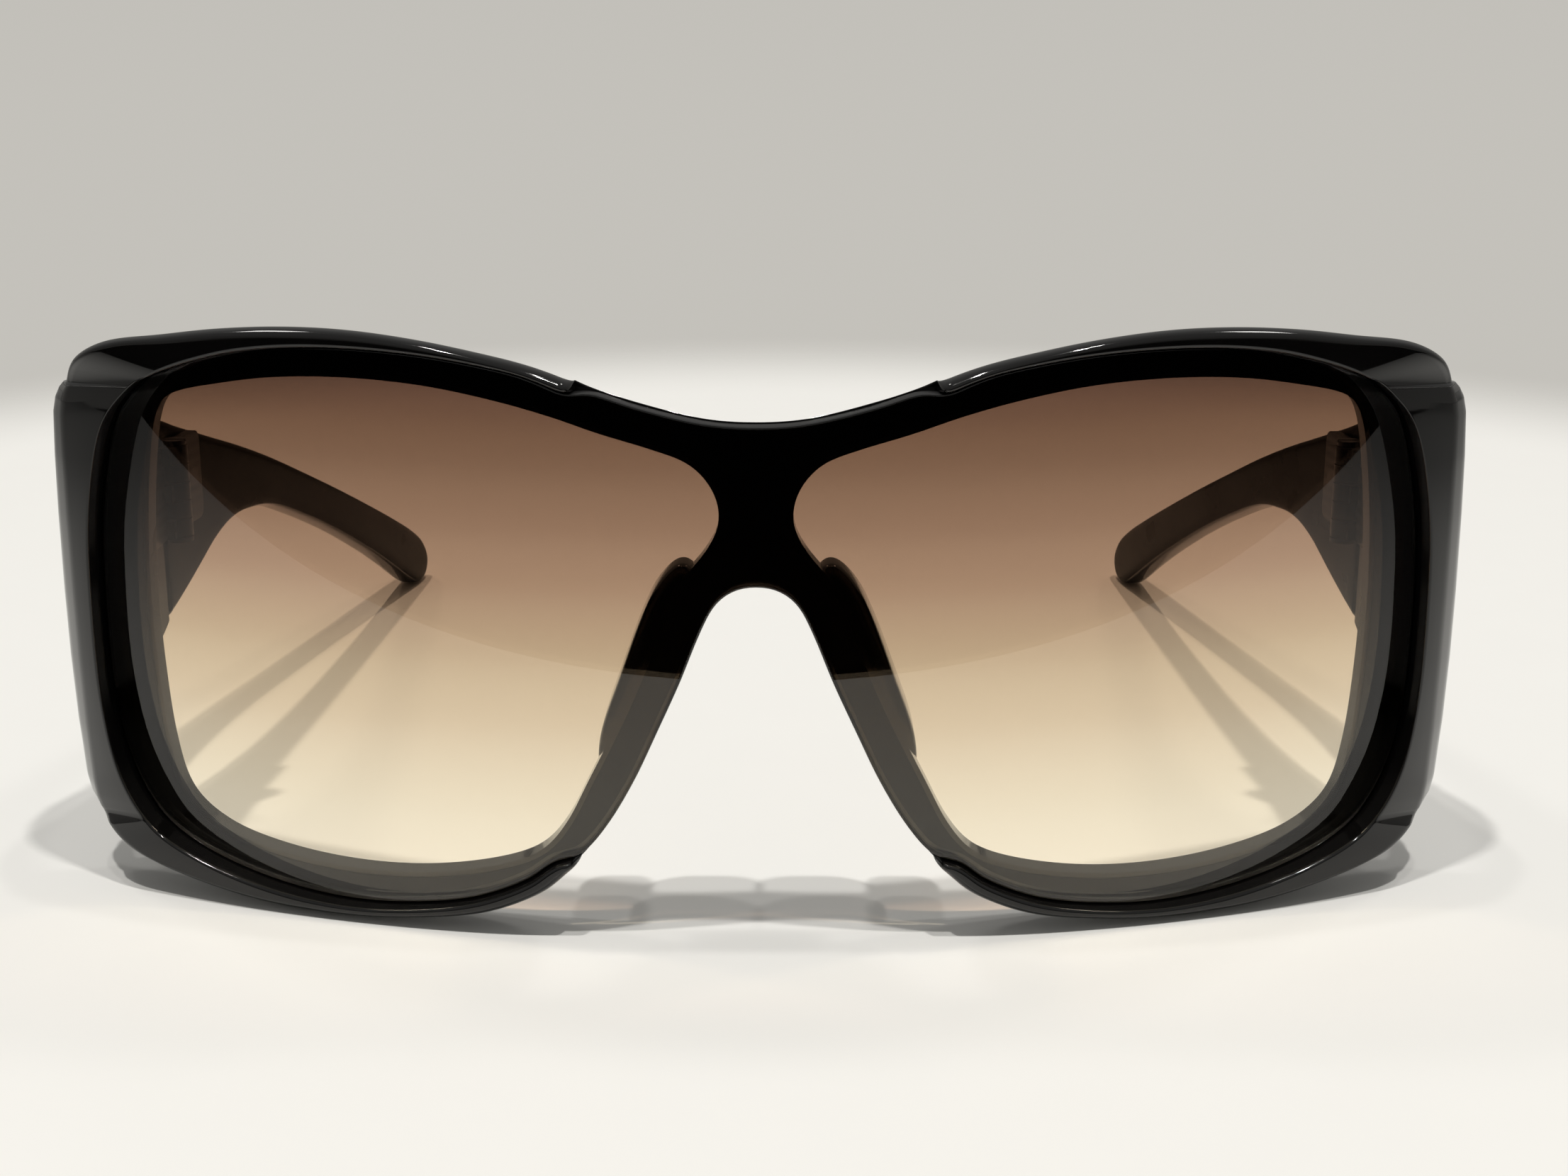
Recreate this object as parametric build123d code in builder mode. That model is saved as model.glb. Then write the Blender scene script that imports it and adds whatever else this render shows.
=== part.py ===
from build123d import *
import os
from math import cos, radians, sin, sqrt

# One-piece shield sunglasses with a wraparound front and two folding temples.
# Millimetres, +Z up, +Y towards the wearer, so the front faces -Y. The wearer's left is +X.
# Depths are counted back from the foremost point of the lens, which stands at Y = -half_depth.

os.makedirs("parts", exist_ok=True)

# Driving dimensions
half_depth = 67.4           # half of the length from the lens to the temple tips
height_limit = 62.0         # taller than the front, for cutting
lens_radius = 138.0         # front surface of the lens, seen from above
lens_thickness = 1.8
bond_thickness = 0.2        # bonding strip between lens and seat
bond_inset = 0.7            # the strip stops this far inside the edge of the lens
flange_thickness = 2.5      # seat that the lens is bonded to
pocket_gap = 0.12           # clearance round the edge of the lens
face_radius = 163.0         # front face of the rims, seen from above
face_lead = 0.8             # the circle of the rims' front face starts this far ahead of the lens
corner_radius = 14.0        # bend from the front into the end pieces
corner_start_x = 63.0
wall_x = 64.4               # inner wall of the end pieces
joint_depth = 34.0          # end of the end pieces
joint_gap = 0.3             # gap between end piece and temple
joint_low_z = 22.5          # lower edge of end piece and temple where they meet
rim_end_x = 16.5            # the raised rims stop here, on each side of the bridge

barrel_radius = 1.35
screw_radius = 0.75
running_clearance = 0.05
knuckle_height = 1.9
knuckle_gap = 0.1
knuckle_count = 5
leaf_thickness = 1.0
hinge_mid_z = 37.2
arm_angle = 6.3             # each temple leans in towards the head by this many degrees

seat_radius = lens_radius - lens_thickness - bond_thickness
back_radius = seat_radius - flange_thickness
temple_start = joint_depth + joint_gap
axis_x = wall_x - leaf_thickness - 0.8
axis_depth = joint_depth + joint_gap / 2

# Local planes with their origin at the foremost point of the lens
plan = Plane((0, -half_depth, 0))
front = Plane((0, -half_depth, 0), x_dir=(1, 0, 0), z_dir=(0, -1, 0))
side = Plane((0, -half_depth, 0), x_dir=(0, 1, 0), z_dir=(1, 0, 0))

# Outlines seen from the front, as (x, z) from the bridge's top edge, round the wearer's left,
# to the top of the nose cut-out
frame_outline = [
    (0, 50.9), (5, 51.2), (11, 52.8), (17.4, 55.0), (24, 56.9), (31, 58.3), (38, 59.1),
    (44.5, 59.2), (51, 58.7), (57, 57.7), (62.5, 56.2), (66.4, 54.2), (69, 51.0), (70.4, 46),
    (71, 38), (71.2, 29), (71, 20), (70.3, 12.5), (68.4, 7.3), (64.5, 3.9), (57, 1.5),
    (49, 0.3), (41, 0), (34, 0.5), (27, 2.1), (21.5, 4.6), (17.6, 8.1), (14.8, 12), (12, 16.5),
    (9.6, 21.3), (7.5, 26.4), (5.9, 31), (4.1, 34.3), (1.9, 35.6), (0, 35.8)]
lens_outline = [
    (0, 50.9), (5, 51.2), (11, 52.75), (16.5, 54.4), (21.5, 55.5), (27, 56.5), (33, 57.25),
    (39, 57.5), (45, 57.2), (51, 56.2), (56.5, 54.5), (60.3, 52.1), (62.5, 48.4), (64, 42.5),
    (65, 36), (65.5, 29), (65.4, 22), (64.7, 15.5), (63, 10), (59.8, 6.5), (54.5, 4),
    (48.4, 2.4), (41, 1.7), (34, 2.2), (27.5, 3.6), (22.4, 5.9), (18.8, 8.6), (15.4, 12),
    (12.3, 16.8), (9.9, 21.5), (7.7, 26.6), (6.1, 31.2), (4.2, 34.6), (1.9, 35.9), (0, 36.1)]
eye_outline = [
    (57.4, 51.6), (51, 53.4), (45, 54.3), (38, 54.6), (31, 54.2), (24.5, 53.0), (19, 51.6),
    (14.5, 50.2), (9.6, 48.6), (6.2, 46.9), (4.2, 44.4), (3.9, 41.6), (5.0, 38.8), (7.2, 36),
    (8.8, 33), (10.3, 29), (12.2, 24.5), (14.4, 20), (16.7, 15.5), (18.9, 11.5), (21.6, 8.6),
    (26, 6.6), (33, 5.2), (40.5, 4.8), (48, 5.2), (54.3, 6.7), (58.3, 9.7), (60.2, 15),
    (61.1, 22.5), (61.3, 30), (61, 37.5), (60.2, 44.5), (59.3, 49.3)]


def both_halves(half):
    """A closed outline from the half on the wearer's left."""
    return half + [(-x, z) for x, z in reversed(half[1:-1])]


def grown(outline, amount):
    """The closed outline with every point moved outwards by the amount."""
    moved = []
    for n, (x, z) in enumerate(outline):
        before = outline[n - 1]
        after = outline[(n + 1) % len(outline)]
        run_x = after[0] - before[0]
        run_z = after[1] - before[1]
        run = sqrt(run_x**2 + run_z**2)
        moved.append((x - amount * run_z / run, z + amount * run_x / run))
    return moved


def across(points, hand):
    """Points of one eye, on the wearer's left (1) or right (-1)."""
    return [(hand * x, z) for x, z in points]


def write(piece, name):
    piece.label = name
    export_step(piece, f"parts/{name}.step")


def write_pair(piece, name):
    """A piece of the wearer's left and its mirror image on the right."""
    write(piece, f"{name}_left")
    write(mirror(piece, about=Plane.YZ), f"{name}_right")


def on_face(x):
    """Depth of the rims' front face at x."""
    return face_radius - face_lead - sqrt(face_radius**2 - x**2)


# Hinge, wearer's left: a vertical axis just inside the end piece. Five knuckles, three on the
# front leaf and two on the temple leaf.
hinge_step = knuckle_height + knuckle_gap
hinge_low_z = hinge_mid_z - (knuckle_count * hinge_step - knuckle_gap) / 2
hinge_height = knuckle_count * hinge_step - knuckle_gap
front_knuckles = [hinge_low_z + n * hinge_step for n in (0, 2, 4)]
temple_knuckles = [hinge_low_z + n * hinge_step for n in (1, 3)]
axis_plane = Plane((axis_x, axis_depth - half_depth, 0))
arm = Plane((wall_x, temple_start - half_depth, 0),
            x_dir=(-sin(radians(arm_angle)), cos(radians(arm_angle)), 0),
            z_dir=(cos(radians(arm_angle)), sin(radians(arm_angle)), 0))
end_wall = Plane((wall_x, joint_depth - half_depth, 0), x_dir=(0, -1, 0), z_dir=(1, 0, 0))
leaf_length = 7.6
leaf_start = 1.35           # the plate starts this far from the end of its wall
web_thickness = 1.3
web_length = 2.1
leaf_screw_offsets = (3.9, 7.0)
leaf_screw_radius = 0.55
leaf_head_radius = 1.0
leaf_head_depth = 0.45
leaf_screw_length = 3.4


def leaf(wall, wall_sign, web_sign, knuckles):
    """A plate on a wall, with knuckles that reach the hinge axis."""
    with BuildPart() as plate:
        with BuildSketch(wall):
            with Locations((leaf_start + leaf_length / 2, wall_sign * hinge_mid_z)):
                RectangleRounded(leaf_length, hinge_height, 1.2)
        extrude(amount=-leaf_thickness)
        for z in knuckles:
            with BuildSketch(axis_plane.offset(z)):
                Circle(barrel_radius)
                with Locations((web_thickness / 2, web_sign * web_length / 2)):
                    Rectangle(web_thickness, web_length)
            extrude(amount=knuckle_height)
        with BuildSketch(axis_plane):
            Circle(screw_radius + running_clearance)
        extrude(amount=height_limit, mode=Mode.SUBTRACT)
    return plate


def leaf_screws(wall, wall_sign):
    """Two small countersunk screws that hold a leaf on its wall."""
    with BuildPart() as screws:
        spots = [(x, wall_sign * hinge_mid_z) for x in leaf_screw_offsets]
        with BuildSketch(wall.offset(-leaf_thickness)):
            with Locations(*spots):
                Circle(leaf_head_radius)
        extrude(amount=leaf_head_depth, taper=45)
        with BuildSketch(wall.offset(-leaf_thickness)):
            with Locations(*spots):
                Circle(leaf_screw_radius)
        extrude(amount=leaf_screw_length)
    return screws


# On end_wall local y points down, so heights are negative there
hinge_front_leaf = leaf(end_wall, -1, -1, front_knuckles)
hinge_temple_leaf = leaf(arm, 1, 1, temple_knuckles)
front_leaf_screws = leaf_screws(end_wall, -1)
temple_leaf_screws = leaf_screws(arm, 1)

# Hinge screw: cheese head on top, shank through all five knuckles and the collar
with BuildPart() as hinge_screw:
    with BuildSketch(axis_plane.offset(hinge_low_z - 0.7)):
        Circle(screw_radius)
    extrude(amount=hinge_height + 0.8)
    with BuildSketch(axis_plane.offset(hinge_low_z + hinge_height + 0.05)):
        Circle(barrel_radius - 0.15)
    extrude(amount=0.6)
    with BuildSketch(axis_plane.offset(hinge_low_z + hinge_height + 0.4)):
        Rectangle(3, 0.35)
    extrude(amount=0.5, mode=Mode.SUBTRACT)

# Nylon collar under the lowest knuckle, which keeps the screw from backing out
with BuildPart() as hinge_collar:
    with BuildSketch(axis_plane.offset(hinge_low_z - 0.6)):
        Circle(barrel_radius)
        Circle(screw_radius, mode=Mode.SUBTRACT)
    extrude(amount=0.5)

# Lens: one cylindrical sheet across both eyes
with BuildPart() as shield_lens:
    with BuildSketch(front):
        with BuildLine():
            Spline(*both_halves(lens_outline), periodic=True)
        make_face()
    extrude(amount=-24)
    with BuildSketch(plan):
        with Locations((0, lens_radius)):
            Circle(lens_radius)
            Circle(lens_radius - lens_thickness, mode=Mode.SUBTRACT)
    extrude(amount=height_limit, mode=Mode.INTERSECT)

# Bonding strip behind the edge of the lens
with BuildPart() as lens_bond_strip:
    with BuildSketch(front):
        with BuildLine():
            Spline(*grown(both_halves(lens_outline), -bond_inset), periodic=True)
        make_face()
        for hand in (1, -1):
            with BuildLine():
                Spline(*across(eye_outline, hand), periodic=True)
            make_face(mode=Mode.SUBTRACT)
    extrude(amount=-24)
    with BuildSketch(plan):
        with Locations((0, lens_radius)):
            Circle(lens_radius - lens_thickness)
            Circle(seat_radius, mode=Mode.SUBTRACT)
    extrude(amount=height_limit, mode=Mode.INTERSECT)

# Recess for the lens: its outline with a little clearance, open across the bridge and the nose,
# where the lens lies flush with the edge of the frame
with BuildPart() as recess:
    with BuildSketch(front.offset(5)):
        with BuildLine():
            Spline(*grown(both_halves(lens_outline), pocket_gap), periodic=True)
        make_face()
        with BuildLine():
            Polyline((-rim_end_x, height_limit), (-rim_end_x, 46), (rim_end_x, 46),
                     (rim_end_x, height_limit), close=True)
        make_face()
        with BuildLine():
            Polyline((-17, 4), (17, 4), (17.4, 9.5), (6, 38), (-6, 38), (-17.4, 9.5), close=True)
        make_face()
    extrude(amount=-32)
    with BuildSketch(plan):
        with Locations((0, lens_radius)):
            Circle(seat_radius)
    extrude(amount=height_limit, mode=Mode.SUBTRACT)

# Front frame: rims, lens seat and end pieces in one moulding
corner_turn = corner_start_x / face_radius
corner_x = corner_start_x - corner_radius * corner_turn
corner_y = on_face(corner_start_x) + corner_radius * sqrt(1 - corner_turn**2)
side_turn = radians(90 + arm_angle)
side_x = corner_x + corner_radius * sin(side_turn)
side_y = corner_y - corner_radius * cos(side_turn)
mid_turn = radians(60)
mid_x = corner_x + corner_radius * sin(mid_turn)
mid_y = corner_y - corner_radius * cos(mid_turn)
joint_x = side_x - (joint_depth - side_y) * sin(radians(arm_angle))
back_x = 62.0
back_y = lens_radius - sqrt(back_radius**2 - back_x**2)

with BuildPart() as front_frame:
    with BuildSketch(plan):
        with BuildLine():
            ThreePointArc((-corner_start_x, on_face(corner_start_x)), (0, -face_lead),
                          (corner_start_x, on_face(corner_start_x)))
            for hand in (1, -1):
                ThreePointArc((hand * corner_start_x, on_face(corner_start_x)),
                              (hand * mid_x, mid_y), (hand * side_x, side_y))
                Polyline((hand * side_x, side_y), (hand * joint_x, joint_depth),
                         (hand * wall_x, joint_depth), (hand * wall_x, back_y + 4.0),
                         (hand * back_x, back_y))
            ThreePointArc((-back_x, back_y), (0, lens_radius - back_radius), (back_x, back_y))
        make_face()
    extrude(amount=height_limit)
    with BuildSketch(front.offset(5)):
        with BuildLine():
            Spline(*both_halves(frame_outline), periodic=True)
        make_face()
    extrude(amount=-50, mode=Mode.INTERSECT)
    # Cheek band: a shallow swelling on the outside of each end piece
    for hand in (1, -1):
        with BuildSketch(plan.offset(6.6)):
            with BuildLine():
                Spline((hand * 65.6, 14.6), (hand * 69.6, 17.6), (hand * 71.9, 22.2),
                       (hand * 72.2, 26.0), (hand * 71.4, 30.0), (hand * joint_x, joint_depth))
                Polyline((hand * joint_x, joint_depth), (hand * 67, joint_depth),
                         (hand * 67, 18), (hand * 65.6, 14.6))
            make_face()
        extrude(amount=44.8)
    # Seen from the side, the end pieces narrow towards the hinges
    with BuildSketch(side):
        with BuildLine():
            Spline((20.2, 6.0), (21.6, 12), (24.8, 17.6), (29.2, 20.9), (joint_depth, joint_low_z))
            Polyline((joint_depth, joint_low_z), (joint_depth, 45.2))
            Spline((joint_depth, 45.2), (28, 47.2), (22.5, 49.4), (19, 52.6))
            Polyline((19, 52.6), (18.6, height_limit), (-5, height_limit), (-5, -1), (20, -1),
                     (20.2, 6.0))
        make_face()
    extrude(amount=80, both=True, mode=Mode.INTERSECT)
    add(recess.part, mode=Mode.SUBTRACT)
    with BuildSketch(front.offset(5)):
        for hand in (1, -1):
            with BuildLine():
                Spline(*across(eye_outline, hand), periodic=True)
            make_face()
    extrude(amount=-32, mode=Mode.SUBTRACT)
    add(front_leaf_screws.part, mode=Mode.SUBTRACT)
    add(mirror(front_leaf_screws.part, about=Plane.YZ), mode=Mode.SUBTRACT)

# Nose pad: a flared pad behind the seat, along one side of the nose cut-out
with BuildPart() as nose_pad:
    with BuildSketch(front.offset(-1.2)):
        with BuildLine():
            Spline((5.4, 34.0), (8.4, 26.4), (10.6, 21.4), (13.2, 16.6), (15.6, 15.2), (15.2, 19.5),
                   (12.8, 25.5), (10.9, 31.0), (8.6, 35.4), (6.4, 36.4), periodic=True)
        make_face()
    extrude(amount=-11)
    with BuildSketch(plan):
        with Locations((0, lens_radius)):
            Circle(back_radius)
    extrude(amount=height_limit, mode=Mode.INTERSECT)
    with BuildSketch(side):
        with BuildLine():
            Spline((4.0, 38), (8.6, 34.5), (12.0, 28), (12.4, 22), (9.6, 16.4), (4.6, 14.4))
            Polyline((4.6, 14.4), (0, 14.4), (0, 38), (4.0, 38))
        make_face()
    extrude(amount=20, mode=Mode.INTERSECT)

# Core blade: thin nickel silver strip inside the arm, which lets it be bent to fit
with BuildPart() as temple_core:
    with BuildSketch(arm.offset(1.4)):
        with BuildLine():
            Spline((11, 37.0), (26, 34.5), (48, 26.0), (72, 15.8), (92, 6.6))
            Line((92, 6.6), (91.4, 4.8))
            Spline((91.4, 4.8), (71.2, 14.0), (47.2, 24.2), (25.4, 32.6), (11, 34.8))
            Line((11, 34.8), (11, 37.0))
        make_face()
    extrude(amount=1.0)

# Temple: tall at the joint, then a slim arm that runs down to a rounded tip
arm_end_x = wall_x - (2 * half_depth - temple_start) * sin(radians(arm_angle))
with BuildPart() as temple:
    with BuildSketch(side):
        with BuildLine():
            Spline((temple_start, 45.1), (41, 42.9), (50, 39.9), (60, 36.6), (70, 33.0),
                   (82, 28.3), (95, 23.1), (109, 17.3), (120, 12.6), (127.5, 9.2))
            Spline((127.5, 9.2), (132.6, 6.4), (2 * half_depth, 2.8), (131.6, 0), (127, 1.1),
                   tangents=((5.1, -2.3), (-4.6, 2.0)))
            Spline((127, 1.1), (117.2, 6.0), (107.7, 10.5), (93.5, 16.8), (81, 22.0),
                   (69.5, 26.6), (61, 28.6), (55, 28.8), (49.5, 27.8), (44.5, 26.0), (39.5, 24.2),
                   (temple_start, joint_low_z))
            Line((temple_start, joint_low_z), (temple_start, 45.1))
        make_face()
    extrude(amount=80)
    with BuildSketch(plan):
        with BuildLine():
            Spline((joint_x, temple_start), (67.8, 44), (65.7, 60), (61.0, 97),
                   (arm_end_x + 3.6, 2 * half_depth))
            Polyline((arm_end_x + 3.6, 2 * half_depth), (arm_end_x, 2 * half_depth),
                     (wall_x, temple_start), (joint_x, temple_start))
        make_face()
    extrude(amount=height_limit, mode=Mode.INTERSECT)
    add(temple_core.part, mode=Mode.SUBTRACT)
    add(temple_leaf_screws.part, mode=Mode.SUBTRACT)

for screws, plate in ((front_leaf_screws, hinge_front_leaf), (temple_leaf_screws, hinge_temple_leaf)):
    with plate:
        add(screws.part, mode=Mode.SUBTRACT)

write(front_frame.part, "front_frame")
write(shield_lens.part, "shield_lens")
write(lens_bond_strip.part, "lens_bond_strip")
write_pair(nose_pad.part, "nose_pad")
write_pair(temple.part, "temple")
write_pair(temple_core.part, "temple_core")
write_pair(hinge_front_leaf.part, "hinge_front_leaf")
write_pair(hinge_temple_leaf.part, "hinge_temple_leaf")
write_pair(hinge_screw.part, "hinge_screw")
write_pair(hinge_collar.part, "hinge_collar")
write_pair(front_leaf_screws.part, "front_leaf_screws")
write_pair(temple_leaf_screws.part, "temple_leaf_screws")
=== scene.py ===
import math

import bmesh
import bpy
import numpy as np
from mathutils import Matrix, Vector
from mathutils.geometry import delaunay_2d_cdt


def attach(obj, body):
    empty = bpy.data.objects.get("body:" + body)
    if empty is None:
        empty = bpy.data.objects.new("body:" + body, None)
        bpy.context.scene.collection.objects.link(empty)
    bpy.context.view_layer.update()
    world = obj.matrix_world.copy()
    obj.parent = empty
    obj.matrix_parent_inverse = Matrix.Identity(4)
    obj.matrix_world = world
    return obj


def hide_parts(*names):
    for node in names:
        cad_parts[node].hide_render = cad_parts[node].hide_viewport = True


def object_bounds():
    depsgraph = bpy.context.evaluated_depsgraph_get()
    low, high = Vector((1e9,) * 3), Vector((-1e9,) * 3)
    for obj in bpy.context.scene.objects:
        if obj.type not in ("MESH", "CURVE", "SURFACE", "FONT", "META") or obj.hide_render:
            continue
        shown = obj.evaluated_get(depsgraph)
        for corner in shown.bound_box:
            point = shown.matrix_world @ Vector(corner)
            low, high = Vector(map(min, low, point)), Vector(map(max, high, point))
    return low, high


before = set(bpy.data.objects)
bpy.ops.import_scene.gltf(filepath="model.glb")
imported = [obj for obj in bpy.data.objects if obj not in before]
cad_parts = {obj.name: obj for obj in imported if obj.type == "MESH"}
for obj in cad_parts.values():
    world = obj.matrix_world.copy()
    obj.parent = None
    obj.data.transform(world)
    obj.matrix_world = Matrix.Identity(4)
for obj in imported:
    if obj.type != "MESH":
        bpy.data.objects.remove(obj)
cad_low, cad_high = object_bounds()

# Camera: a phone held 9 cm above the table and 20 cm in front of the lens, tilted down at the bridge.
# It stands a little to the wearer's left of the middle, so that the glasses sit left of centre.
MM = 0.001
front_y = cad_low.y
camera_data = bpy.data.cameras.new("camera")
camera_data.lens = 50.65
camera_data.sensor_width = 36.0
camera_data.clip_start = 0.01
camera = bpy.data.objects.new("camera", camera_data)
bpy.context.collection.objects.link(camera)
camera.location = (3.4 * MM, front_y - 197.8 * MM, 91.5 * MM)
camera.rotation_euler = (math.radians(90 - 15.74), 0, math.radians(0.23))
bpy.context.scene.camera = camera


# Floor and light: a white laminate table top in a pale room, with two small ceiling lamps in front
# of it, two weaker ones above it and two far behind. Painted shade in reflections: what polished
# parts mirror of the table is painted dimmer away from the glasses, and dark from a hand's width in front
# of the rims.
def linear(code):
    """An sRGB hex colour as linear RGBA."""
    values = [int(code[n:n + 2], 16) / 255 for n in (0, 2, 4)]
    return (*[v / 12.92 if v <= 0.04045 else ((v + 0.055) / 1.055) ** 2.4 for v in values], 1.0)


def new_material(name):
    """A material with its Principled node, and the tree to add to."""
    material = bpy.data.materials.new(name)
    material.use_nodes = True
    tree = material.node_tree
    return material, tree, tree.nodes["Principled BSDF"]


def add_node(tree, kind, settings=None, inputs=None):
    """A node with its settings; an input is a value or another node's output socket."""
    node = tree.nodes.new(kind)
    for key, value in (settings or {}).items():
        setattr(node, key, value)
    for key, value in (inputs or {}).items():
        if isinstance(value, bpy.types.NodeSocket):
            tree.links.new(value, node.inputs[key])
        else:
            node.inputs[key].default_value = value
    return node


def flat_sheet(name, half, z):
    """A level square sheet round the origin, reaching half each way."""
    mesh = bpy.data.meshes.new(name)
    mesh.from_pydata([(-half, -half, z), (half, -half, z), (half, half, z), (-half, half, z)],
                     [], [(0, 1, 2, 3)])
    sheet = bpy.data.objects.new(name, mesh)
    bpy.context.collection.objects.link(sheet)
    return sheet


bpy.context.scene.view_settings.view_transform = "Standard"
# Melamine laminate, pressed matt: an even white with soft mirroring and a faint mottle 11 mm across
mottle_size = 11.1 * MM
table, tree, shader = new_material("white_laminate")
place = add_node(tree, "ShaderNodeTexCoord").outputs["Object"]
grain = add_node(tree, "ShaderNodeTexNoise", inputs={
    "Vector": place, "Scale": 1 / mottle_size, "Detail": 4.0})
tone = add_node(tree, "ShaderNodeMapRange", inputs={
    "Value": grain.outputs["Fac"], "To Min": 0.985, "To Max": 1.0})
tint = add_node(tree, "ShaderNodeMix", {"data_type": "RGBA", "blend_type": "MULTIPLY"},
                {0: 1.0, 6: linear("f5f5f2"), 7: tone.outputs["Result"]})
tree.links.new(tint.outputs[2], shader.inputs["Base Color"])
shader.inputs["Roughness"].default_value = 0.5
shader.inputs["Specular IOR Level"].default_value = 0.3
# Painted shade in reflections: in mirrors only, the lit table is painted dark beyond a hand's width in
# front of the rims, and dimmer further off
hand_width = 81 * MM
dim_near = 120 * MM
dim_far = 320 * MM
depth = add_node(tree, "ShaderNodeSeparateXYZ", inputs={"Vector": place}).outputs["Y"]
ahead = add_node(tree, "ShaderNodeMath", {"operation": "LESS_THAN"}, {
    0: depth, 1: front_y - hand_width})
bounces = add_node(tree, "ShaderNodeLightPath").outputs["Glossy Depth"]
in_mirror = add_node(tree, "ShaderNodeMath", {"operation": "GREATER_THAN"}, {0: bounces, 1: 0.5})
reach = add_node(tree, "ShaderNodeVectorMath", {"operation": "LENGTH"}, {0: place})
far_off = add_node(tree, "ShaderNodeMapRange", {"interpolation_type": "SMOOTHSTEP"}, {
    "Value": reach.outputs["Value"], "From Min": dim_near, "From Max": dim_far, "To Max": 0.65})
painted_shade_extent = add_node(tree, "ShaderNodeMath", {"operation": "MAXIMUM"}, {
    0: ahead.outputs["Value"], 1: far_off.outputs["Result"]})
mirror_shade_amount = add_node(tree, "ShaderNodeMath", {"operation": "MULTIPLY"}, {
    0: painted_shade_extent.outputs["Value"], 1: in_mirror.outputs["Value"]})
# Painted shade: a near-black sheet that mirrors show in place of the lit table
painted_mirror_shade = add_node(tree, "ShaderNodeBsdfDiffuse", inputs={"Color": linear("0a0a0a")})
table_or_mirror_shade = add_node(tree, "ShaderNodeMixShader", inputs={
    0: mirror_shade_amount.outputs["Value"], 1: shader.outputs["BSDF"], 2: painted_mirror_shade.outputs["BSDF"]})
# The table top fades into the room round its edge, but not in mirrors
fade_start = 215 * MM
fade_end = 300 * MM
edge_fade = add_node(tree, "ShaderNodeMapRange", {"interpolation_type": "SMOOTHSTEP"}, {
    "Value": reach.outputs["Value"], "From Min": fade_start, "From Max": fade_end})
unmirrored = add_node(tree, "ShaderNodeMath", {"operation": "SUBTRACT"}, {
    0: edge_fade.outputs["Result"], 1: in_mirror.outputs["Value"]})
unmirrored.use_clamp = True
beyond = add_node(tree, "ShaderNodeBsdfTransparent")
faded = add_node(tree, "ShaderNodeMixShader", inputs={
    0: unmirrored.outputs["Value"], 1: table_or_mirror_shade.outputs["Shader"], 2: beyond.outputs["BSDF"]})
tree.links.new(faded.outputs["Shader"], tree.nodes["Material Output"].inputs["Surface"])
floor = flat_sheet("floor", 3.0, -0.1 * MM)
floor.data.materials.append(table)

world = bpy.data.worlds.new("pale_room")
bpy.context.scene.world = world
world.use_nodes = True
tree = world.node_tree
background = tree.nodes["Background"]
direction = add_node(tree, "ShaderNodeTexCoord").outputs["Generated"]
parts = add_node(tree, "ShaderNodeSeparateXYZ", inputs={"Vector": direction}).outputs
# Painted walls, palest at table height and greyer towards the ceiling
height = add_node(tree, "ShaderNodeMapRange", {"interpolation_type": "SMOOTHSTEP"}, {
    "Value": parts["Z"], "From Min": -0.1, "From Max": 0.5})
walls = add_node(tree, "ShaderNodeMix", {"data_type": "RGBA"}, {
    0: height.outputs["Result"], 6: linear("d6d3cc"), 7: linear("b4b3b0")})
# Painted shade in reflections: in mirrors only, the room is painted dark ahead of the glasses and low down
front_end = add_node(tree, "ShaderNodeMapRange", {"interpolation_type": "SMOOTHSTEP"}, {
    "Value": parts["Y"], "From Min": -0.35, "From Max": -0.7})
low_down = add_node(tree, "ShaderNodeMapRange", {"interpolation_type": "SMOOTHSTEP"}, {
    "Value": parts["Z"], "From Min": 0.35, "From Max": 0.0})
mirror_shade_ahead = add_node(tree, "ShaderNodeMath", {"operation": "MULTIPLY"}, {
    0: front_end.outputs["Result"], 1: low_down.outputs["Result"]})
# Painted shade in reflections: in mirrors only, low walls are painted dimmer all round, as the far table
# is
mirror_shade_low_walls = add_node(tree, "ShaderNodeMapRange", {"interpolation_type": "SMOOTHSTEP"}, {
    "Value": parts["Z"], "From Min": 0.6, "From Max": 0.1, "To Max": 0.5})
painted_shade_extent = add_node(tree, "ShaderNodeMath", {"operation": "MAXIMUM"}, {
    0: mirror_shade_ahead.outputs["Value"], 1: mirror_shade_low_walls.outputs["Result"]})
ray = add_node(tree, "ShaderNodeLightPath").outputs
in_mirror = add_node(tree, "ShaderNodeMath", {"operation": "GREATER_THAN"}, {
    0: ray["Glossy Depth"], 1: 0.5})
mirrored = add_node(tree, "ShaderNodeMath", {"operation": "MULTIPLY"}, {
    0: painted_shade_extent.outputs["Value"], 1: in_mirror.outputs["Value"]})
# Painted shade: mirrors see the walls blended towards near black where the shade is painted
room = add_node(tree, "ShaderNodeMix", {"data_type": "RGBA"}, {
    0: mirrored.outputs["Value"], 6: walls.outputs[2], 7: linear("0a0a0a")})
tree.links.new(room.outputs[2], background.inputs["Color"])
# The walls give less light than they show, so that the lamps' shadows stay deep
strength = add_node(tree, "ShaderNodeMapRange", inputs={
    "Value": ray["Is Diffuse Ray"], "To Min": 0.82, "To Max": 0.42})
tree.links.new(strength.outputs["Result"], background.inputs["Strength"])


def softbox(name, place, size, power):
    """A square warm-white lamp that faces the middle of the table."""
    lamp = bpy.data.lights.new(name, "AREA")
    lamp.size = size
    lamp.energy = power
    lamp.color = linear("fffcf8")[:3]
    box = bpy.data.objects.new(name, lamp)
    bpy.context.collection.objects.link(box)
    box.location = place
    box.rotation_euler = (-Vector(place)).to_track_quat("-Z", "Y").to_euler()


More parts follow.
